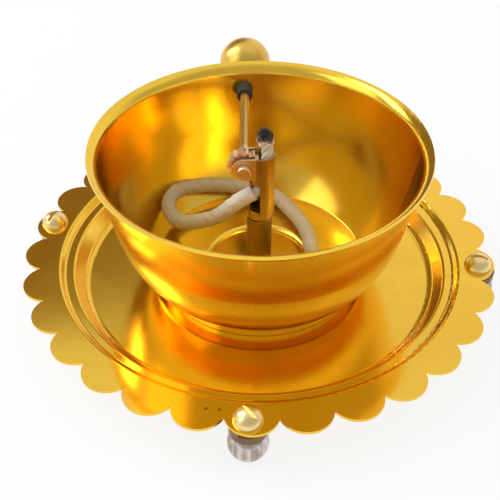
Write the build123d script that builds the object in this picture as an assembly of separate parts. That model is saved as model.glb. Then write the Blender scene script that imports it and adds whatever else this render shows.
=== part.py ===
from build123d import *
import os
from math import atan2, cos, degrees, pi, radians, sin, sqrt, tan

# Brass oil lamp with a wick raiser, in millimetres.
# The table is at z = 0, the bowl's axis is the Z axis, and the knob is behind the bowl, at +Y.

# Sheet metal
sheet_bend_inside = 0.2

# Feet
foot_count = 4
foot_inset = 6.3
foot_turn = -0.8
ball_diameter = 14.1
ball_flat = 0.15
ball_rise = 5.3
collar_diameter = 13.2
collar_height = 4.2
collar_chamfer = 0.6
collar_to_well = 1.0
dome_diameter = 10.4
dome_height = 4.7
screw_slot_width = 1.4
screw_slot_depth = 1.5
first_slot_angle = -49
slot_angle_step = 37
stud_diameter = 4.0
stud_depth_in_ball = 7.0
stud_clearance = 0.05

# Tray
tray_sheet = 1.1
lobe_count = 29
lobe_tip_radius = 91.1
lobe_depth = 6.5
lobe_phase = -1.9
well_depth = 8.5
well_wall_run = 4.2
ledge_width = 3.5
ledge_depth = 2.3
ledge_step_run = 1.8
well_floor_bend = 3.0

# Bowl
bowl_sheet = 1.2
bowl_height = 52.0
lip_radius = 62.3
lip_overhang = 2.8
lip_height = 3.0
wall_lean = 4.5
belly_run = 14.0
belly_height = 26.6
bowl_base_bend = 1.5
recess_radius = 18.6
recess_slope = 1.0
recess_depth = 1.6
ring_inset = 2.3
ring_wall = 1.6
ring_height = 4.9

# Post and the fastening that holds post, bowl and tray together
post_diameter = 9.5
spigot_height = 3.0
bolt_diameter = 5.0
bolt_hole_clearance = 0.2
bolt_thread_clearance = 0.05
bolt_overhang = 1.5
seal_diameter = 10.0
seal_thickness = 0.8
washer_diameter = 13.0
washer_thickness = 1.0
nut_across_flats = 8.0
nut_height = 4.0

# Wick tube
tube_diameter = 9.7
tube_wall = 0.6
tube_height = 27.9
tube_off_post = 0.7
tube_foot_slant = 2.2
spigot_clearance = 0.25
window_bottom = 4.4
window_height = 12.0
window_front_edge = -0.5
window_back_edge = 1.6
seam_width = 0.4

# Star wheel, its ears and shaft
shaft_below_rim = 7.3
shaft_below_tube_top = 4.6
shaft_fall = 1.6
shaft_diameter = 3.6
shaft_running_clearance = 0.06
wheel_teeth = 14
wheel_tip_radius = 6.0
wheel_root_radius = 4.6
wheel_tip_width = 0.5
wheel_width = 4.2
wheel_slot_clearance = 0.5
wheel_to_wick = 0.3
hub_diameter = 4.8
hub_end_clearance = 0.3
ear_gap = 6.8
ear_thickness = 1.0
ear_radius = 4.4
end_collar_diameter = 5.2
end_collar_length = 2.2
end_collar_clearance = 0.3
end_dimple_diameter = 2.4
end_dimple_depth = 0.6

# Sleeve in the rear wall, and the knob
sleeve_diameter = 6.5
sleeve_inside = 6.2
sleeve_outside = 2.0
sleeve_neck_diameter = 5.2
knob_diameter = 21.6
knob_standoff = 22.0
knob_neck_diameter = 7.4
knob_neck_length = 2.6
shaft_depth_in_knob = 11.0

# Wick
wick_diameter = 6.0
pressed_wick_diameter = 4.3
wick_to_tube_clearance = 0.15
wick_foot_above_spigot = 5.6
wick_above_tube = 11.2
wick_lean = 2.0
wick_flare = 1.8

# Heights, from the table up
ball_centre_z = ball_diameter / 2 - ball_flat
collar_z = ball_centre_z + ball_rise
tray_z = collar_z + collar_height + tray_sheet
well_z = tray_z - well_depth
bowl_z = well_z + ring_height
recess_z = bowl_z + bowl_sheet - recess_depth
bowl_floor_z = bowl_z + bowl_sheet
post_z = recess_z + seal_thickness
shaft_z = bowl_z + bowl_height - shaft_below_rim
tube_top_z = shaft_z + shaft_below_tube_top
tube_z = tube_top_z - tube_height

# Radii of the tray and the bowl, from the outside in
lobe_notch_radius = lobe_tip_radius - lobe_depth
foot_circle_radius = lobe_tip_radius - foot_inset
well_mouth_radius = foot_circle_radius - collar_diameter / 2 - collar_to_well
ledge_outer_radius = well_mouth_radius - ledge_step_run
ledge_inner_radius = ledge_outer_radius - ledge_width
well_floor_radius = ledge_inner_radius - well_wall_run
wall_top_radius = lip_radius - lip_overhang
wall_foot_radius = wall_top_radius - wall_lean
wall_top_height = bowl_height - lip_height
bowl_base_radius = wall_foot_radius - belly_run
ring_outer_radius = bowl_base_radius - ring_inset

# Places across the tube: the wick along its right side, the wheel beside the wick
tube_bore_radius = tube_diameter / 2 - tube_wall
wick_x = tube_off_post + tube_bore_radius - wick_to_tube_clearance - pressed_wick_diameter / 2
wick_left = wick_x - pressed_wick_diameter / 2
shaft_offset = wick_left - wheel_to_wick - wheel_tip_radius
bolt_hole_radius = bolt_diameter / 2 + bolt_hole_clearance

# Rear wall on the shaft's axis, and the knob's centre behind it
wall_slope = wall_lean / (wall_top_height - belly_height)
shaft_z_at_wall = shaft_z - wall_foot_radius * tan(radians(shaft_fall))
wall_radius_at_shaft = wall_foot_radius + wall_slope * (shaft_z_at_wall - bowl_z - belly_height) - bowl_sheet
wall_depth = sqrt(wall_radius_at_shaft**2 - shaft_offset**2)
knob_centre = wall_depth + bowl_sheet + knob_standoff


def cylinder_z(radius, bottom, top, x=0, y=0):
    """Upright cylinder between two heights."""
    return Pos(x, y, (bottom + top) / 2) * Cylinder(radius, top - bottom)


def shaft_place(depth):
    """Place on the shaft's axis, which runs back from the wheel and falls a little towards the knob."""
    return Pos(shaft_offset, 0, shaft_z) * Rot(-shaft_fall, 0, 0) * Pos(0, depth, 0)


def cylinder_y(radius, front, back):
    """Cylinder along the shaft's axis between two depths."""
    return shaft_place(front / 2 + back / 2) * Rot(90, 0, 0) * Cylinder(radius, back - front)


def turned(line, z=0):
    """Solid of revolution about Z from a closed line drawn as radius and height."""
    return Pos(0, 0, z) * revolve(Plane.XZ * make_face(line), axis=Axis.Z)


def sheet_turned(line, thickness, side, z):
    """Spun sheet of even thickness that lies on one side of a line drawn as radius and height."""
    return turned(offset(line, amount=thickness, side=side, closed=True).edges(), z)


def polar(radius, angle):
    """Point at an angle from the front, towards the right."""
    return (radius * sin(radians(angle)), -radius * cos(radians(angle)))


def lobe_angle(lobe):
    return lobe_phase + lobe * 360 / lobe_count


def foot_places():
    """One foot under every quarter of the lobes, each near the middle of a lobe."""
    lobes = [k * lobe_count // foot_count for k in range(foot_count)]
    return [polar(foot_circle_radius, lobe_angle(lobe) + foot_turn) for lobe in lobes]


def tray_flange():
    """Flat rim with a round lobe between each two notches."""
    half_pitch = 180 / lobe_count
    arcs = []
    for lobe in range(lobe_count):
        middle = lobe_angle(lobe)
        start = polar(lobe_notch_radius, middle - half_pitch)
        tip = polar(lobe_tip_radius, middle)
        end = polar(lobe_notch_radius, middle + half_pitch)
        arcs.append(ThreePointArc(start, tip, end))
    outline = make_face(Wire(arcs).edges())
    rim = outline - Circle(well_mouth_radius + 2 * tray_sheet)
    return Pos(0, 0, tray_z - tray_sheet) * extrude(rim, tray_sheet)


def tray_well():
    """Stepped well: floor, sloping wall, ledge and a short step up to the rim."""
    edge_bend = tray_sheet + sheet_bend_inside
    line = FilletPolyline(
        (0, -well_depth),
        (well_floor_radius, -well_depth),
        (ledge_inner_radius, -ledge_depth),
        (ledge_outer_radius, -ledge_depth),
        (well_mouth_radius, 0),
        (well_mouth_radius + 3 * tray_sheet, 0),
        radius=(well_floor_bend, edge_bend, edge_bend, edge_bend),
    )
    return sheet_turned(line, tray_sheet, Side.RIGHT, tray_z)


def tray():
    body = tray_well() + tray_flange()
    for x, y in foot_places():
        body -= cylinder_z(stud_diameter / 2 + stud_clearance, tray_z - 2 * tray_sheet, tray_z + 1, x, y)
    return body - cylinder_z(bolt_hole_radius, well_z - 2 * tray_sheet, well_z + 1)


def bowl_line():
    """Outer face of the bowl from its axis to its lip, with height measured from the floor's underside."""
    floor = FilletPolyline(
        (0, -recess_depth),
        (recess_radius, -recess_depth),
        (recess_radius + recess_slope, 0),
        (bowl_base_radius, 0),
        radius=bowl_sheet + sheet_bend_inside,
    )
    wall_foot = (wall_foot_radius, belly_height)
    wall_top = (wall_top_radius, wall_top_height)
    lean = (wall_lean, wall_top_height - belly_height)
    belly = TangentArc(wall_foot, (bowl_base_radius, 0), tangent=(-lean[0], -lean[1]))
    wall = Line(wall_foot, wall_top)
    lip = TangentArc(wall_top, (lip_radius, bowl_height), tangent=lean)
    return Wire((floor + belly + wall + lip).edges())


def bowl_shell():
    """Bowl before its holes are drilled."""
    line = bowl_line()
    base = [v for v in line.vertices() if abs(v.X - bowl_base_radius) < 0.01 and abs(v.Y) < 0.01]
    return sheet_turned(line.fillet_2d(bowl_base_bend, base), bowl_sheet, Side.LEFT, bowl_z)


def bowl(shell):
    drilled = shell - cylinder_y(sleeve_neck_diameter / 2, 0, knob_centre)
    return drilled - cylinder_z(bolt_hole_radius, recess_z - 2 * bowl_sheet, bowl_floor_z)


def bowl_foot_ring():
    outer = cylinder_z(ring_outer_radius, well_z, bowl_z)
    ring = outer - cylinder_z(ring_outer_radius - ring_wall, well_z - 1, bowl_z + 1)
    return fillet(ring.edges().group_by(Axis.Z)[0], ring_wall / 4)


def bolt_bottom_z():
    return well_z - tray_sheet - washer_thickness - nut_height - bolt_overhang


def centre_post():
    """Post: spigot for the tube above, plain shank, and a bolt below through bowl and tray."""
    spigot_radius = tube_bore_radius - spigot_clearance
    shank = cylinder_z(post_diameter / 2, post_z, tube_z)
    spigot = cylinder_z(spigot_radius, tube_z, tube_z + spigot_height, tube_off_post)
    spigot = chamfer(spigot.edges().group_by(Axis.Z)[-1], 0.4)
    bolt = cylinder_z(bolt_diameter / 2, bolt_bottom_z(), post_z)
    bolt = chamfer(bolt.edges().group_by(Axis.Z)[0], 0.5)
    return shank + spigot + bolt


def washer(diameter, bottom, thickness):
    return cylinder_z(diameter / 2, bottom, bottom + thickness) - cylinder_z(
        bolt_hole_radius, bottom - 1, bottom + thickness + 1
    )


def post_seal():
    return washer(seal_diameter, recess_z, seal_thickness)


def centre_washer():
    return washer(washer_diameter, well_z - tray_sheet - washer_thickness, washer_thickness)


def centre_nut():
    bottom = bolt_bottom_z() + bolt_overhang
    hexagon = RegularPolygon(nut_across_flats / 2, 6, major_radius=False)
    nut = Pos(0, 0, bottom) * extrude(hexagon, nut_height)
    crown = Pos(0, 0, bottom + nut_height / 2) * Cylinder(nut_across_flats * 0.57, nut_height)
    nut = nut & chamfer(crown.edges(), 0.5)
    return nut - cylinder_z(bolt_diameter / 2 + bolt_thread_clearance, bottom - 1, bottom + nut_height + 1)


def tube_cylinder(radius, bottom, top):
    return cylinder_z(radius, bottom, top, tube_off_post)


def wick_tube():
    """Rolled tube: slanted foot, window for the wick's tail, slot for the wheel, open seam."""
    outer = tube_diameter / 2
    tube = tube_cylinder(outer, tube_z, tube_top_z)
    tube -= tube_cylinder(tube_bore_radius, tube_z - 1, tube_top_z + 1)
    slant = degrees(atan2(tube_foot_slant, tube_diameter))
    foot_cut = Pos(tube_off_post - outer, 0, tube_z) * Rot(0, -slant, 0) * Pos(outer, 0, -tube_diameter / 2)
    tube -= foot_cut * Box(3 * tube_diameter, 2 * tube_diameter, tube_diameter)
    window_x = tube_off_post + window_front_edge
    window = Box(tube_diameter, tube_diameter, window_height, align=(Align.MAX, Align.MAX, Align.MIN))
    tube -= Pos(window_x, window_back_edge, tube_z + window_bottom) * window
    slot_foot = shaft_z - wheel_tip_radius - wheel_slot_clearance
    slot = Box(tube_diameter, ear_gap, tube_top_z - slot_foot + 1, align=(Align.MAX, Align.CENTER, Align.MIN))
    tube -= Pos(tube_off_post, 0, slot_foot) * slot
    seam = Box(seam_width, tube_diameter, window_bottom + 1, align=(Align.MAX, Align.MAX, Align.MIN))
    return tube - Pos(window_x, 0, tube_z - 0.5) * seam


def ear(side):
    """Round-ended cheek soldered to the tube's flank, with the shaft's bearing hole."""
    inner = ear_gap / 2
    round_end = Pos(shaft_offset, 0) * Circle(ear_radius)
    root = Pos(tube_off_post, 0) * Rectangle(1, 2 * shaft_below_tube_top)
    outline = make_hull(round_end.edges() + root.edges())
    plate = Plane((0, side * inner, shaft_z), x_dir=(1, 0, 0), z_dir=(0, -1, 0)) * outline
    plate = extrude(plate, ear_thickness, dir=(0, side, 0))
    plate -= tube_cylinder(tube_diameter / 2, tube_z, tube_top_z + ear_radius)
    hole_radius = shaft_diameter / 2 + shaft_running_clearance
    return plate - cylinder_y(hole_radius, -ear_gap, ear_gap)


def star_wheel():
    """Toothed wheel with a hub that fills the room between the ears."""
    half_tip = wheel_tip_width / 2
    points = []
    for tooth in range(wheel_teeth):
        turn = 2 * pi * tooth / wheel_teeth
        for radius, across in ((wheel_tip_radius, -half_tip), (wheel_tip_radius, half_tip)):
            points.append((radius * cos(turn) - across * sin(turn), radius * sin(turn) + across * cos(turn)))
        gap = turn + pi / wheel_teeth
        points.append((wheel_root_radius * cos(gap), wheel_root_radius * sin(gap)))
    teeth = extrude(make_face(Polyline(points, close=True)), wheel_width / 2, both=True)
    hub = Cylinder(hub_diameter / 2, ear_gap - 2 * hub_end_clearance)
    bore = Cylinder(shaft_diameter / 2 + stud_clearance, 2 * ear_gap)
    return shaft_place(0) * Rot(90, 0, 0) * (teeth + hub - bore)


def shaft_front():
    return -ear_gap / 2 - ear_thickness - end_collar_clearance - end_collar_length


def knob_front():
    return knob_centre - sqrt((knob_diameter / 2) ** 2 - (knob_neck_diameter / 2) ** 2)


def adjuster_shaft():
    front = shaft_front() + end_dimple_depth
    return cylinder_y(shaft_diameter / 2, front, knob_front() + shaft_depth_in_knob)


def shaft_collar():
    """Collar pinned on the shaft's front end, with a ring turned in its face."""
    front = shaft_front()
    back = front + end_collar_length
    collar = cylinder_y(end_collar_diameter / 2, front, back)
    collar = fillet(collar.edges().group_by(Axis.Y)[0], 0.7)
    collar -= cylinder_y(shaft_diameter / 2 + stud_clearance, front + end_dimple_depth, back + 1)
    return collar - cylinder_y(end_dimple_diameter / 2, front - 1, front + 2 * end_dimple_depth)


def wall_sleeve(shell):
    """Sleeve with a waist that grips the edge of the hole in the bowl's wall."""
    front = wall_depth - sleeve_inside
    back = wall_depth + bowl_sheet + sleeve_outside
    body = cylinder_y(sleeve_diameter / 2, front, back)
    body = fillet(body.edges().group_by(Axis.Y)[0], 0.8)
    waist = cylinder_y(sleeve_neck_diameter / 2, wall_depth - 1, back - 0.1)
    sleeve = (body - shell) + waist
    return sleeve - cylinder_y(shaft_diameter / 2 + shaft_running_clearance, front - 1, back + 1)


def adjuster_knob():
    """Ball knob with a short neck, bored for the shaft."""
    ball = shaft_place(knob_centre) * Sphere(knob_diameter / 2)
    neck = cylinder_y(knob_neck_diameter / 2, knob_front() - knob_neck_length, knob_centre)
    neck = chamfer(neck.edges().group_by(Axis.Y)[0], 0.5)
    bore_end = knob_front() + shaft_depth_in_knob
    return ball + neck - cylinder_y(shaft_diameter / 2 + stud_clearance, 0, bore_end)


def foot_screw(x, y, slot_angle):
    """Slotted dome head on the tray with a stud that holds collar and ball."""
    radius = dome_diameter / 2
    arc = TangentArc((0, dome_height), (radius, 0), tangent=(1, 0))
    dome = turned(arc + Line((radius, 0), (0, 0)) + Line((0, 0), (0, dome_height)), tray_z)
    slot = Pos(0, 0, tray_z + dome_height) * Box(dome_diameter, screw_slot_width, 2 * screw_slot_depth)
    stud_bottom = ball_centre_z + ball_diameter / 2 - stud_depth_in_ball
    screw = dome - Rot(0, 0, slot_angle) * slot + cylinder_z(stud_diameter / 2, stud_bottom, tray_z)
    return Pos(x, y, 0) * screw


def foot_collar(x, y):
    collar = cylinder_z(collar_diameter / 2, collar_z, collar_z + collar_height)
    collar = chamfer(collar.edges(), collar_chamfer)
    bore = cylinder_z(stud_diameter / 2 + stud_clearance, collar_z - 1, tray_z)
    return Pos(x, y, 0) * (collar - bore)


def foot_ball(x, y):
    """Ball with a flat to stand on and a flat seat under the collar."""
    ball = Pos(0, 0, ball_centre_z) * Sphere(ball_diameter / 2)
    ball &= cylinder_z(ball_diameter, 0, collar_z)
    stud_bottom = ball_centre_z + ball_diameter / 2 - stud_depth_in_ball
    bore = cylinder_z(stud_diameter / 2 + stud_clearance, stud_bottom, tray_z)
    return Pos(x, y, 0) * (ball - bore)


def wick_head():
    """Straight wick in the tube that leans and frays out above it."""
    radius = pressed_wick_diameter / 2
    flared = radius + wick_flare / 2
    foot = tube_z + spigot_height + wick_foot_above_spigot
    tip = tube_top_z + wick_above_tube
    sections = [
        (wick_x, foot, radius),
        (wick_x, tube_top_z + wick_above_tube * 0.45, radius),
        (wick_x - wick_lean * 0.4, tube_top_z + wick_above_tube * 0.62, flared),
        (wick_x - wick_lean * 0.8, tube_top_z + wick_above_tube * 0.85, flared),
        (wick_x - wick_lean, tip, flared * 0.55),
    ]
    return loft([Pos(x, 0, z) * Circle(r) for x, z, r in sections], ruled=True)


# The tail leaves through the window: distance left of the wick, depth and height above the tube's foot
tail_drop = [
    (2.3, -1.6, 12.0),
    (9.0, -2.0, 8.1),
    (15.0, 1.0, -1.3),
]

# Then it goes round the bowl's floor: angle from the front, distance inside the bowl's base, height
tail_round = [
    (-103.9, 14.6, 11.2),
    (-109.6, 5.5, 7.5),
    (-118.2, -1.2, 9.2),
    (-128.6, -3.6, 10.6),
    (-139.7, -2.6, 9.2),
    (-156.1, 0.2, 7.4),
    (-178.4, 3.0, 4.9),
    (167.0, 6.1, 3.7),
    (153.7, 12.3, 3.5),
    (130.6, 17.4, 4.0),
    (96.0, 20.1, 4.2),
    (64.1, 17.7, 3.5),
    (36.7, 14.4, 3.5),
    (12.4, 13.1, 3.5),
]


def tail_points():
    drop = [(wick_left - left, y, tube_z + height) for left, y, height in tail_drop]
    floor = []
    for angle, inset, height in tail_round:
        floor.append((*polar(bowl_base_radius - inset, angle), bowl_floor_z + height))
    return drop + floor


def bend_radii(points):
    """Largest easy bend at each inner point: 0.45 of the shorter run over the tangent of half the turn."""
    radii = []
    for before, here, after in zip(points, points[1:], points[2:]):
        run_in = Vector(*here) - Vector(*before)
        run_out = Vector(*after) - Vector(*here)
        half_turn = radians(run_in.get_angle(run_out)) / 2
        radii.append(0.45 * min(run_in.length, run_out.length) / tan(half_turn))
    return radii


def wick_tail():
    points = tail_points()
    radii = bend_radii(points)
    path = FilletPolyline(*points, radius=radii)
    start = Plane(origin=path @ 0, z_dir=path % 0)
    cord = sweep(start * Circle(wick_diameter / 2), path=path)
    print("wick tail bends, mm:", [round(r, 1) for r in radii])
    print("wick tail length:", round(path.length, 1))
    ideal = pi * wick_diameter**2 / 4 * path.length
    print("volume over section times length:", round(cord.volume / ideal, 4))
    return cord


def main():
    shell = bowl_shell()
    pieces = {
        "tray": tray(),
        "bowl": bowl(shell),
        "bowl_foot_ring": bowl_foot_ring(),
        "centre_post": centre_post(),
        "post_seal": post_seal(),
        "centre_washer": centre_washer(),
        "centre_nut": centre_nut(),
        "wick_tube": wick_tube(),
        "front_ear": ear(-1),
        "rear_ear": ear(1),
        "star_wheel": star_wheel(),
        "adjuster_shaft": adjuster_shaft(),
        "shaft_collar": shaft_collar(),
        "wall_sleeve": wall_sleeve(shell),
        "adjuster_knob": adjuster_knob(),
        "wick_head": wick_head(),
        "wick_tail": wick_tail(),
    }
    for number, (x, y) in enumerate(foot_places(), start=1):
        pieces[f"foot_screw_{number}"] = foot_screw(x, y, first_slot_angle + slot_angle_step * (number - 1))
        pieces[f"foot_collar_{number}"] = foot_collar(x, y)
        pieces[f"foot_ball_{number}"] = foot_ball(x, y)
    os.makedirs("parts", exist_ok=True)
    for name, piece in pieces.items():
        export_step(piece, f"parts/{name}.step")


main()
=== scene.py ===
# %% [markdown]
# # A brass oil lamp with a wick raiser
# The lamp is a spun brass bowl that stands in a scalloped brass tray on four ball feet.
# A cotton wick comes up through a small tube in the middle of the bowl.
# A knob behind the bowl turns a toothed wheel beside the tube, and the wheel lifts the wick.
# The metal pieces are already modelled in CAD, so this lesson loads them, lights them, gives each its finish,
# and makes the wick, which is soft, from scratch.

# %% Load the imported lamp
import bmesh
import bpy
import math
from mathutils import Matrix, Vector, noise


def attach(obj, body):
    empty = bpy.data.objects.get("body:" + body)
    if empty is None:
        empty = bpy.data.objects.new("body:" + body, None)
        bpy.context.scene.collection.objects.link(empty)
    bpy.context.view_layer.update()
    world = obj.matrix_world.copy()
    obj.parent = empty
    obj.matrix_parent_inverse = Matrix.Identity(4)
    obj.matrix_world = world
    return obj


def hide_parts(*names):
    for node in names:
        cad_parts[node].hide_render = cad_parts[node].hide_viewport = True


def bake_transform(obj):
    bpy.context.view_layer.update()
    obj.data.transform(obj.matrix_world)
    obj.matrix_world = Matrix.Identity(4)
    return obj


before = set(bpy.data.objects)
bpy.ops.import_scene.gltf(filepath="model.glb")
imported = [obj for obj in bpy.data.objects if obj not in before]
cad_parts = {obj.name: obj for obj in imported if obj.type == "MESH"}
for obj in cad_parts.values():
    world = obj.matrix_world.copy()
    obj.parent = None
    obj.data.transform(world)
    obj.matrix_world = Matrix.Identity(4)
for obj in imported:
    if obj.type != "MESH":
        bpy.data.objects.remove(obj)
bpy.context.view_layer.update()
MM = 0.001

# %% [markdown]
# ## The camera
# The photograph looks down on the lamp from the front, about 40 degrees above the table and fairly near, so that
# the far side of the tray is clearly smaller than the near side.
# A camera can be placed by hand until it looks right. Here its distance, height and lens were worked out from the
# ellipses of the tray and of the bowl's rim, so they are given as plain values.

# %% Place the camera
aim_point = Vector((-3.52, 0, 17.84)) * MM
camera_distance = 361.03 * MM
camera_elevation = math.radians(40.01)
camera_roll = math.radians(0.13)

camera_data = bpy.data.cameras.new("photo_camera")
camera_data.sensor_width = 36
camera_data.lens = 66.19
camera_data.clip_start = 0.01
camera = bpy.data.objects.new("photo_camera", camera_data)
bpy.context.scene.collection.objects.link(camera)
towards_camera = Vector((0, -math.cos(camera_elevation), math.sin(camera_elevation)))
camera.location = aim_point + camera_distance * towards_camera
camera.rotation_euler = (Matrix.Rotation(camera_roll, 3, towards_camera)
                         @ towards_camera.to_track_quat("Z", "Y").to_matrix()).to_euler()
bpy.context.scene.camera = camera
print("camera at", [round(v, 4) for v in camera.location])

# %% [markdown]
# ## The wick's way through the lamp
# The wick is one length of soft cotton. Its tail comes out of the tube's window, drops to the bowl's floor, climbs
# a little against the left wall, and goes round the back and the right side to end at the front.
# A limp cord never bends in straight runs and round corners, so its line is a NURBS curve that only leans towards
# its control points. The points are those of the cord in the CAD model.

# %% Draw the tail's centre line
tail_route = [
    (-1.8, -1.6, 47.3),
    (-8.5, -2.0, 43.4),
    (-14.5, 1.0, 34.0),
    (-25.6, 6.3, 26.3),
    (-33.4, 11.9, 22.6),
    (-37.2, 19.9, 24.3),
    (-34.9, 27.9, 25.7),
    (-28.2, 33.3, 24.3),
    (-16.6, 37.3, 22.5),
    (-1.1, 38.0, 20.0),
    (7.9, 34.0, 18.8),
    (12.7, 25.8, 18.6),
    (17.9, 15.4, 19.1),
    (20.7, 2.2, 19.3),
    (21.0, -10.2, 18.6),
    (15.9, -21.3, 18.6),
    (6.0, -27.2, 18.6),
]


def smooth_line(name, points, steps):
    """Points along a NURBS curve that has the given points, in millimetres, as its control points."""
    curve = bpy.data.curves.new(name, "CURVE")
    curve.dimensions = "3D"
    curve.resolution_u = steps
    spline = curve.splines.new("NURBS")
    spline.points.add(len(points) - 1)
    for point, place in zip(spline.points, points):
        point.co = (*(Vector(place) * MM), 1)
    spline.order_u = 3
    spline.use_endpoint_u = True
    drawn = bpy.data.objects.new(name, curve)
    bpy.context.scene.collection.objects.link(drawn)
    bpy.context.view_layer.update()
    mesh = bpy.data.meshes.new_from_object(drawn.evaluated_get(bpy.context.evaluated_depsgraph_get()))
    line = [vertex.co.copy() for vertex in mesh.vertices]
    bpy.data.meshes.remove(mesh)
    bpy.data.objects.remove(drawn)
    bpy.data.curves.remove(curve)
    return line


def line_length(line):
    return sum((after - before).length for before, after in zip(line, line[1:]))


tail_line = smooth_line("tail_line", tail_route, 24)
print("tail line:", len(tail_line), "points,", round(line_length(tail_line) / MM, 1), "mm")

# %% [markdown]
# ## Cotton cord
# The cord is a few soft yarns laid together, so its outline has shallow grooves that run round it as it goes along.
# It could be made as separate yarns. Under oil they cling together and hardly show, so one skin is pushed in along
# the grooves instead, and given small lumps, which keeps the cord soft and whole.

# %% Make a cord's skin along a line
def frames_along(line):
    """Place, direction and a steady pair of side directions at each point of a line."""
    side = None
    for index, place in enumerate(line):
        ahead = (line[min(index + 1, len(line) - 1)] - line[max(index - 1, 0)]).normalized()
        guide = side if side else Vector((0, 0, 1)).cross(ahead)
        side = (guide - ahead * guide.dot(ahead)).normalized()
        yield place, ahead, side, ahead.cross(side)


def cord_skin(name, line, radius_at, yarns=3, lay_length=14 * MM, groove=0.12, lump=0.05, sides=36):
    """Closed tube along a line, with grooves between its yarns and a radius that may change on the way."""
    mesh = bmesh.new()
    rings = []
    gone = 0.0
    previous = line[0]
    for place, ahead, side, up in frames_along(line):
        gone += (place - previous).length
        previous = place
        radius = radius_at(gone)
        ring = []
        for step in range(sides):
            turn = 2 * math.pi * step / sides
            lay = abs(math.sin(yarns * (turn - 2 * math.pi * gone / lay_length) / 2))
            out = side * math.cos(turn) + up * math.sin(turn)
            bumps = noise.noise((place + out * radius) * 420) * lump
            ring.append(mesh.verts.new(place + out * radius * (1 - groove * (1 - lay) ** 2 + bumps)))
        rings.append(ring)
    for first, second in zip(rings, rings[1:]):
        for step in range(sides):
            after = (step + 1) % sides
            mesh.faces.new((first[step], first[after], second[after], second[step]))
    for ring, place, flip in ((rings[0], line[0], True), (rings[-1], line[-1], False)):
        middle = mesh.verts.new(place)
        for step in range(sides):
            edge = (ring[step], ring[(step + 1) % sides])
            mesh.faces.new((*edge[::-1], middle) if flip else (*edge, middle))
    bmesh.ops.recalc_face_normals(mesh, faces=mesh.faces)
    data = bpy.data.meshes.new(name)
    mesh.to_mesh(data)
    mesh.free()
    data.polygons.foreach_set("use_smooth", [True] * len(data.polygons))
    heights = data.attributes.new("rest_height", "FLOAT", "POINT")
    heights.data.foreach_set("value", [vertex.co.z / MM for vertex in data.vertices])
    made = bpy.data.objects.new(name, data)
    bpy.context.scene.collection.objects.link(made)
    return made


# %% Make the tail
wick_diameter = 6.0 * MM


def tail_radius(gone):
    """Full in the bowl, and closed to a soft round end."""
    left = max(line_length(tail_line) - gone, 0)
    close = math.sqrt(max(1 - (1 - min(left / (1.6 * MM), 1)) ** 2, 0.02))
    return wick_diameter / 2 * close


wick_tail = cord_skin("cotton_wick_tail", tail_line, tail_radius, groove=0.08, lump=0.08)
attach(wick_tail, "lamp")
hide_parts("wick_tail")
print("wick tail:", len(wick_tail.data.vertices), "points")

# %% [markdown]
# ## The wick's head
# In the tube the wick is pressed straight. Above the tube it frays, leans to the left and is burnt at its tip.
# Its lower end bends out to meet the tail.

# %% Make the head
head_route = [
    (-3.6, -2.0, 46.4),
    (0.4, -1.2, 47.6),
    (2.5, -0.2, 50.4),
    (2.65, 0.0, 55.0),
    (2.65, 0.0, 63.0),
    (2.4, 0.0, 66.5),
    (1.8, 0.0, 70.0),
    (1.2, 0.0, 73.8),
]
head_line = smooth_line("head_line", head_route, 24)
pressed_radius = 2.15 * MM
frayed_radius = 3.1 * MM
head_length = line_length(head_line)


def smoothstep(low, high, value):
    share = min(max((value - low) / (high - low), 0), 1)
    return share * share * (3 - 2 * share)


def head_radius(gone):
    """Pressed in the tube, wider where it frays, and ragged and narrow at the burnt tip."""
    left = head_length - gone
    frayed = smoothstep(8.5 * MM, 5 * MM, left)
    tip = smoothstep(-0.5 * MM, 3.2 * MM, left)
    return (pressed_radius + (frayed_radius - pressed_radius) * frayed) * (0.35 + 0.65 * tip)


wick_head = cord_skin("cotton_wick_head", head_line, head_radius, yarns=5, groove=0.2, lump=0.12, sides=40)
print("wick head:", round(head_length / MM, 1), "mm long")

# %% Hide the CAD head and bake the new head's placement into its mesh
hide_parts("wick_head")
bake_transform(wick_head)

# %% [markdown]
# ## Writing a finish
# A finish is a small network of nodes. Sums read better as sums, so one small class holds a socket and turns
# Python's operators into Math nodes. Every other node comes from one method, which sets the node's own settings
# first and then its sockets.

# %% A finish and its signals
class Signal:
    """A number, colour or direction on its way through a finish."""

    def __init__(self, tree, socket):
        self.tree = tree
        self.socket = socket

    def sum_with(self, operation, first, second):
        return add_node(self.tree, "ShaderNodeMath", {"operation": operation}, {0: first, 1: second})

    def __add__(self, other):
        return self.sum_with("ADD", self, other)

    def __radd__(self, other):
        return self.sum_with("ADD", other, self)

    def __sub__(self, other):
        return self.sum_with("SUBTRACT", self, other)

    def __rsub__(self, other):
        return self.sum_with("SUBTRACT", other, self)

    def __mul__(self, other):
        return self.sum_with("MULTIPLY", self, other)

    def __rmul__(self, other):
        return self.sum_with("MULTIPLY", other, self)

    def __truediv__(self, other):
        return self.sum_with("DIVIDE", self, other)

    def __pow__(self, other):
        return self.sum_with("POWER", self, other)


def add_node(tree, kind, settings=None, sockets=None, output=0):
    """Adds one node, with its settings first and then the values or links of its sockets."""
    made = tree.nodes.new(kind)
    for name, value in (settings or {}).items():
        setattr(made, name, value)
    for name, value in (sockets or {}).items():
        if isinstance(value, Signal):
            tree.links.new(value.socket, made.inputs[name])
        else:
            made.inputs[name].default_value = value
    return Signal(tree, made.outputs[output])


def step_between(signal, low, high):
    """0 below low, 1 above high and smooth between."""
    return add_node(signal.tree, "ShaderNodeMapRange", {"interpolation_type": "SMOOTHSTEP"},
                    {"Value": signal, "From Min": low, "From Max": high})


def mix_colours(share, first, second):
    """First colour where share is 0, second where it is 1."""
    return add_node(share.tree, "ShaderNodeMix", {"data_type": "RGBA"}, {"Factor": share, 6: first, 7: second},
                    output=2)


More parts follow.
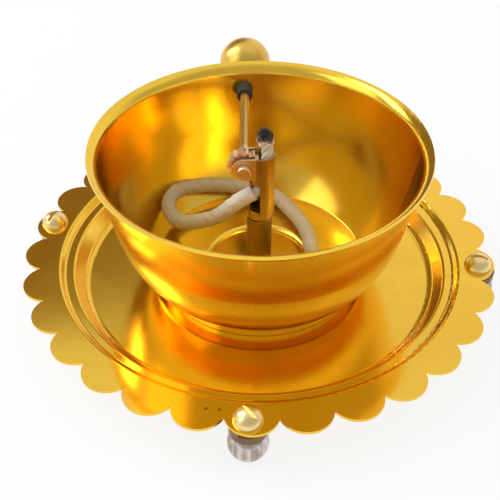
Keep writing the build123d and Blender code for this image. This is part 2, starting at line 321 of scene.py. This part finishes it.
def clouds(tree, place, scale, detail=3, roughness=0.5, distortion=0.0):
    """Soft random patches, from 0 to 1."""
    return add_node(tree, "ShaderNodeTexNoise", {},
                    {"Vector": place, "Scale": scale, "Detail": detail, "Roughness": roughness,
                     "Distortion": distortion})


def parts_of(place):
    """The three parts of a place or direction: across, deep and high."""
    parts = add_node(place.tree, "ShaderNodeSeparateXYZ", {}, {0: place})
    return [Signal(place.tree, parts.socket.node.outputs[axis]) for axis in range(3)]


def new_finish(name):
    """An empty finish with its shader, and the place on the piece in metres."""
    finish = bpy.data.materials.new(name)
    finish.use_nodes = True
    tree = finish.node_tree
    place = add_node(tree, "ShaderNodeTexCoord", output="Object")
    return finish, tree, tree.nodes["Principled BSDF"], place


def feed(shader, name, value):
    """Sets a socket of the shader to a plain value, or links a signal to it."""
    if isinstance(value, Signal):
        value.tree.links.new(value.socket, shader.inputs[name])
    else:
        shader.inputs[name].default_value = value


# %% [markdown]
# ## Brass
# Polished brass is a mirror with a strong yellow tint: what looks orange on the lamp is brass seen in brass.
# Three things keep it from looking like a computer's brass. The sheet isn't quite even, so reflections waver.
# Spinning and polishing leave fine rings. Fingers and oil leave patches that are duller and browner.
# Some pieces also get a colour in one place only: a real stain on the tray, painted reflection on the bowl's recess
# and on the post, and a browner shaft. So a finish can be told where: the place is given in millimetres, as across,
# deep, high, and out from the bowl's axis.

# %% The brass finish
def brass(name, colour, worn_colour, roughness, dull=0.12, waver=0.06, rings=0.0, patch_scale=38,
          hazy_within=None, stain_or_painted_where=None, stain_or_painted_colour=None):
    """Brass with smears and specks, and where asked for with rings, a haze round the axis, or a stain or painted
    reflection in one place.
    """
    finish, tree, shader, place = new_finish(name)
    patches = clouds(tree, place, patch_scale, 4, 0.6, 0.8)
    smears = step_between(patches, 0.36, 0.84)
    specks = step_between(clouds(tree, place, 900, 2), 0.66, 0.78)
    feed(shader, "Metallic", 1.0)
    tint = mix_colours(smears * 0.45 + specks * 0.2, colour, worn_colour)
    shine = roughness + smears * dull + specks * 0.1
    height = clouds(tree, place, 55, 1) * waver + clouds(tree, place, 420, 2) * 0.004
    across, deep, high = parts_of(place)
    from_axis = (across * across + deep * deep) ** 0.5
    if hazy_within:
        shine = shine + 0.03 * (1 - step_between(from_axis, hazy_within - 2 * MM, hazy_within))
    # The tray's spots mixed in here are real stains; the recess's orange and the post's brown are painted
    # reflection.
    if stain_or_painted_where:
        where = stain_or_painted_where(across / MM, deep / MM, high / MM, from_axis / MM)
        tint = mix_colours(where, tint, stain_or_painted_colour)
    feed(shader, "Base Color", tint)
    feed(shader, "Roughness", shine)
    if rings:
        lines = add_node(tree, "ShaderNodeTexNoise", {"noise_dimensions": "1D"},
                         {"W": from_axis + high, "Scale": 1600, "Detail": 2})
        height = height + lines * rings
    bump = add_node(tree, "ShaderNodeBump", {}, {"Height": height, "Strength": 0.35, "Distance": 0.6 * MM})
    feed(shader, "Normal", bump)
    return finish


# %% Where the brass has a stain, painted reflection, or a browner colour
def two_spots(across, deep, high, out):
    """Two small dark spots on a lobe to the left of the front foot."""
    spots = [step_between(0.9 - ((across - x) * (across - x) + (deep - y) * (deep - y)) ** 0.5, 0, 0.5)
             for x, y in ((-17.8, -80.1), (-13.4, -80.5))]
    return (spots[0] + spots[1]) * 0.7


def painted_recess_reflection(across, deep, high, out):
    """The recess in the bowl's floor, given a painted reflection: a deeper orange that stands in for brass seen in
    brass.
    """
    return 1 - step_between(out, 17.6, 18.6)


def painted_post_reflection(across, deep, high, out):
    """The post under the wick tube, painted brown as a painted reflection of the dark inside of the bowl."""
    return 1 - step_between(high, 34.8, 35.3)


def behind_the_ears(across, deep, high, out):
    """The shaft between the rear ear and the wall, coloured browner."""
    return step_between(deep, 9, 12)


# %% Mix each brass
finishes = {
    "tray_brass": brass("tray_brass", (0.93, 0.585, 0.07, 1), (0.78, 0.46, 0.05, 1), 0.10, dull=0.08, rings=0.003,
                        hazy_within=72 * MM, stain_or_painted_where=two_spots, stain_or_painted_colour=(0.30, 0.11, 0.02, 1)),
    "bowl_brass": brass("bowl_brass", (0.92, 0.61, 0.07, 1), (0.80, 0.49, 0.05, 1), 0.16, dull=0.09, rings=0.012,
                        # The bowl's recess gets painted reflection: a deeper orange than the rest of the bowl.
                        stain_or_painted_where=painted_recess_reflection,
                        stain_or_painted_colour=(0.84, 0.44, 0.03, 1)),
    "tube_brass": brass("tube_brass", (0.60, 0.40, 0.12, 1), (0.44, 0.27, 0.07, 1), 0.32, patch_scale=160,
                        # The post gets painted reflection: brown stands in for the dark inside of the bowl that it
                        # mirrors.
                        stain_or_painted_where=painted_post_reflection,
                        stain_or_painted_colour=(0.34, 0.22, 0.04, 1)),
    "wheel_brass": brass("wheel_brass", (0.88, 0.64, 0.43, 1), (0.66, 0.41, 0.24, 1), 0.34, patch_scale=200,
                         stain_or_painted_where=behind_the_ears,
                         stain_or_painted_colour=(0.66, 0.43, 0.13, 1)),
    "knob_brass": brass("knob_brass", (0.80, 0.53, 0.11, 1), (0.58, 0.33, 0.07, 1), 0.27, patch_scale=90),
    "screw_brass": brass("screw_brass", (0.90, 0.72, 0.34, 1), (0.74, 0.52, 0.20, 1), 0.28, patch_scale=120),
}
print("brass finishes:", sorted(finishes))

# %% [markdown]
# ## Nickel, rubber and cotton
# The balls under the tray are plated with nickel, which is bright and hardly coloured. They have upright brownish
# streaks. Their lower part near the table is darkened as painted shade, and the collar above gets a painted dark
# reflection of the brass tray.
# The sleeve in the wall is matt black rubber. The wick is cotton: pale, fuzzy, soaked with oil in the bowl, and
# burnt from white through brown to black at the tip. Its colours follow the height that each point has at rest,
# which is kept in the mesh, so that the burnt end stays the same when the wheel lifts the wick.

# %% The nickel and rubber finishes
def nickel(name):
    finish, tree, shader, place = new_finish(name)
    smears = step_between(clouds(tree, place, 130, 3), 0.45, 0.75)
    feed(shader, "Metallic", 1.0)
    high = parts_of(place)[2] / MM
    upright = add_node(tree, "ShaderNodeVectorMath", {"operation": "MULTIPLY"}, {0: place, 1: (1, 1, 0.05)})
    streaks = step_between(clouds(tree, upright, 420, 1), 0.34, 0.68)
    nickel_colour = mix_colours(streaks, (0.66, 0.61, 0.58, 1), (0.36, 0.28, 0.24, 1))
    # Painted shade: the ball is darker towards the table, where it would mirror shade.
    nickel_colour = mix_colours(step_between(5 - high, 0, 4), nickel_colour, (0.22, 0.17, 0.14, 1))
    # Painted reflection: the collar under the tray is dark brown, standing in for the brass tray that it mirrors.
    painted_tray_reflection = step_between(high, 11.2, 12.4)
    feed(shader, "Base Color", mix_colours(painted_tray_reflection, nickel_colour, (0.20, 0.12, 0.07, 1)))
    feed(shader, "Roughness", 0.12 + smears * 0.12)
    bump = add_node(tree, "ShaderNodeBump", {},
                    {"Height": clouds(tree, place, 300, 2), "Strength": 0.1, "Distance": 0.1 * MM})
    feed(shader, "Normal", bump)
    return finish


def rubber(name):
    finish, tree, shader, place = new_finish(name)
    grain = clouds(tree, place, 1400, 3)
    feed(shader, "Base Color", mix_colours(grain, (0.018, 0.016, 0.012, 1), (0.05, 0.045, 0.035, 1)))
    feed(shader, "Roughness", 0.55 + grain * 0.2)
    bump = add_node(tree, "ShaderNodeBump", {}, {"Height": grain, "Strength": 0.3, "Distance": 0.15 * MM})
    feed(shader, "Normal", bump)
    return finish


finishes["foot_nickel"] = nickel("foot_nickel")
finishes["sleeve_rubber"] = rubber("sleeve_rubber")
print("finishes so far:", len(finishes))


# %% The cotton finish
def cotton(name):
    finish, tree, shader, place = new_finish(name)
    high = add_node(tree, "ShaderNodeAttribute", {"attribute_name": "rest_height"}, output="Fac")
    fibres = clouds(tree, place, 2600, 4, 0.7)
    patches = clouds(tree, place, 160, 3)
    oily = step_between(38 - high + patches * 10, 0, 8)
    pale = mix_colours(fibres, (0.92, 0.86, 0.79, 1), (0.78, 0.68, 0.58, 1))
    soaked = mix_colours(fibres, (0.74, 0.61, 0.39, 1), (0.56, 0.44, 0.25, 1))
    singed = step_between(high + clouds(tree, place, 700, 3) * 6 - 72.2, 0, 1.6)
    burnt = step_between(high + clouds(tree, place, 900, 3) * 6 - 73.4, 0, 1.2)
    colour = mix_colours(oily, pale, soaked)
    colour = mix_colours(singed, colour, (0.20, 0.10, 0.06, 1))
    colour = mix_colours(burnt, colour, (0.015, 0.012, 0.012, 1))
    feed(shader, "Base Color", colour)
    feed(shader, "Roughness", 0.92 - oily * 0.35)
    feed(shader, "Sheen Weight", 0.15)
    bump = add_node(tree, "ShaderNodeBump", {}, {"Height": fibres, "Strength": 0.7, "Distance": 0.3 * MM})
    feed(shader, "Normal", bump)
    return finish


finishes["wick_cotton"] = cotton("wick_cotton")
print("finishes in all:", len(finishes))

# %% [markdown]
# ## Dressing the pieces
# Each piece of the CAD model is given the finish that the record names for it. The pieces themselves stay as
# they are, because their shapes are already those of the real ones.

# %% Give every piece its finish
made_of = {
    "tray_brass": ["tray"],
    "bowl_brass": ["bowl", "bowl_foot_ring"],
    "tube_brass": ["centre_post", "wick_tube"],
    "wheel_brass": ["front_ear", "rear_ear", "star_wheel", "adjuster_shaft", "shaft_collar"],
    "knob_brass": ["adjuster_knob"],
    "screw_brass": ["centre_washer", "centre_nut"] + [f"foot_screw_{n}" for n in range(1, 5)],
    "foot_nickel": [f"foot_{piece}_{n}" for piece in ("ball", "collar") for n in range(1, 5)],
    "sleeve_rubber": ["wall_sleeve", "post_seal"],
}


def dress(piece, finish):
    piece.data.materials.clear()
    piece.data.materials.append(finish)


for slot_name, node_names in made_of.items():
    for node_name in node_names:
        dress(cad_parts[node_name], finishes[slot_name])
for piece in (wick_tail, wick_head):
    dress(piece, finishes["wick_cotton"])
print("pieces dressed:", sum(len(names) for names in made_of.values()) + 2)

# %% [markdown]
# ## Floor and light
# The lamp stands on a plain white table. Polished metal shows whatever is around it, so the room matters more than
# the lamps: a ceiling that is pale at the back, duller walls, a low white backdrop, and two large soft
# lights on the left.
# A white table could be lit until it is white, but then the brass would be far too bright. So the eye, and metal,
# see it mostly as plain white, with the rest of its share left for the lamp's faint shadow.

# %% Lay the floor
floor_mesh = bmesh.new()
bmesh.ops.create_grid(floor_mesh, x_segments=1, y_segments=1, size=40)
floor_data = bpy.data.meshes.new("white_table")
floor_mesh.to_mesh(floor_data)
floor_mesh.free()
white_table = bpy.data.objects.new("white_table", floor_data)
bpy.context.scene.collection.objects.link(white_table)
white_share = 0.85
table_finish, table_tree, table_shader, _ = new_finish("table_white")
feed(table_shader, "Base Color", (0.94, 0.94, 0.94, 1))
feed(table_shader, "Roughness", 0.9)
rays = add_node(table_tree, "ShaderNodeLightPath", output="Is Camera Ray")
mirrored, through = (Signal(table_tree, rays.socket.node.outputs[kind])
                     for kind in ("Is Glossy Ray", "Is Transmission Ray"))
seen = rays + mirrored + through
white = add_node(table_tree, "ShaderNodeEmission", {}, {"Color": (1, 1, 1, 1), "Strength": 1.0})
table_look = add_node(table_tree, "ShaderNodeMixShader", {},
                      {0: seen * white_share, 1: Signal(table_tree, table_shader.outputs[0]), 2: white})
table_tree.links.new(table_look.socket, table_tree.nodes["Material Output"].inputs["Surface"])
dress(white_table, table_finish)
print("table laid:", white_table.name)


# %% Hang the lights
def softbox(name, place, aim, width, height, power):
    """A large soft rectangle of light, aimed at a point."""
    light = bpy.data.lights.new(name, "AREA")
    light.shape = "RECTANGLE"
    light.size = width
    light.size_y = height
    light.energy = power
    hung = bpy.data.objects.new(name, light)
    bpy.context.scene.collection.objects.link(hung)
    hung.location = place
    hung.rotation_euler = (Vector(aim) - Vector(place)).to_track_quat("-Z", "Y").to_euler()
    return hung


bowl_middle = (0, 0, 0.03)
softbox("rear_left_softbox", (-0.98, 0.42, 0.92), bowl_middle, 0.4, 1.1, 8)
softbox("front_left_softbox", (-1.2, -0.4, 0.85), bowl_middle, 0.9, 1.2, 4)
print("lights:", len(bpy.data.lights))

# %% Surround the lamp with a room
world = bpy.data.worlds.new("room")
world.use_nodes = True
bpy.context.scene.world = world
room = world.node_tree
gaze = add_node(room, "ShaderNodeTexCoord", output="Generated")
gaze_right, gaze_back, gaze_up = parts_of(gaze)
overhead = step_between(gaze_up, 0.655, 0.715) * step_between(gaze_back, -0.5, 0.1)
behind = step_between(gaze_back, 0.0, 0.5)
to_the_right = step_between(gaze_right, -0.12, 0.16)
dark_corner = behind * (1 - to_the_right) * (1 - overhead)
walls = mix_colours(overhead, (0.56, 0.54, 0.50, 1), (0.88, 0.88, 0.88, 1))
bright_corner = behind * to_the_right * (1 - overhead)
walls = mix_colours(bright_corner, walls, (0.97, 0.93, 0.87, 1))
room_colour = mix_colours(dark_corner, walls, (0.25, 0.165, 0.07, 1))
above_the_backdrop = step_between(gaze_up, 0.08, 0.16)
room_colour = mix_colours(above_the_backdrop, (1, 1, 1, 1), room_colour)
room_back = room.nodes["Background"]
room.links.new(room_colour.socket, room_back.inputs["Color"])
room_back.inputs["Strength"].default_value = 1.0
print("room:", world.name)

# %% Show colours as they are
bpy.context.scene.view_settings.view_transform = "Standard"
